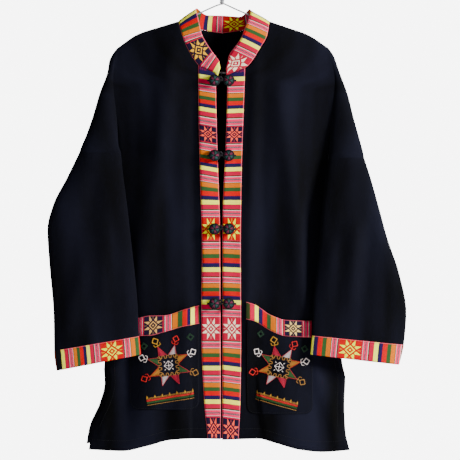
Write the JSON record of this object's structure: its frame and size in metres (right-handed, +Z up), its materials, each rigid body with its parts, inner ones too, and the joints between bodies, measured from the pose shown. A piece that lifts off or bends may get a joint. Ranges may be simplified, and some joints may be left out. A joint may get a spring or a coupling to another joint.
{
  "type": "hmong embroidered jacket on a wire hanger",
  "caption": "Long-sleeved open-front cotton jacket with a stand collar, woven trim bands, knotted frog closures and embroidered patch pockets, hanging flat on a wire hanger by its hook.",
  "frame": {"origin": "underside of the hanger's hook at its top, where a rod carries it", "axes": "+Z up, +X to the right as one faces the jacket, and its front faces -Y"},
  "size_m": [0.6635, 0.0709, 0.9114],
  "materials": {
    "cotton": "matt blue-black cotton, fine plain weave",
    "trim": "woven band in red, pink, green, orange and cream",
    "knot_cord": "black cord with teal and magenta strands",
    "wire": "plain bright wire"
  },
  "bodies": {
    "root": {"front_left": "cotton", "front_right": "cotton", "back_left": "cotton", "back_right": "cotton", "sleeve_left": "cotton", "sleeve_right": "cotton", "cuff_left": "trim", "cuff_right": "trim", "collar": "trim", "placket_left": "trim", "placket_right": "trim", "pocket_left": "cotton", "pocket_right": "cotton", "pocket_band_left": "trim", "pocket_band_right": "trim", "frog_left_1": "knot_cord", "frog_left_2": "knot_cord", "frog_left_3": "knot_cord", "frog_left_4": "knot_cord", "frog_right_1": "knot_cord", "frog_right_2": "knot_cord", "frog_right_3": "knot_cord", "frog_right_4": "knot_cord", "hanger": "wire"}
  },
  "joints": []
}
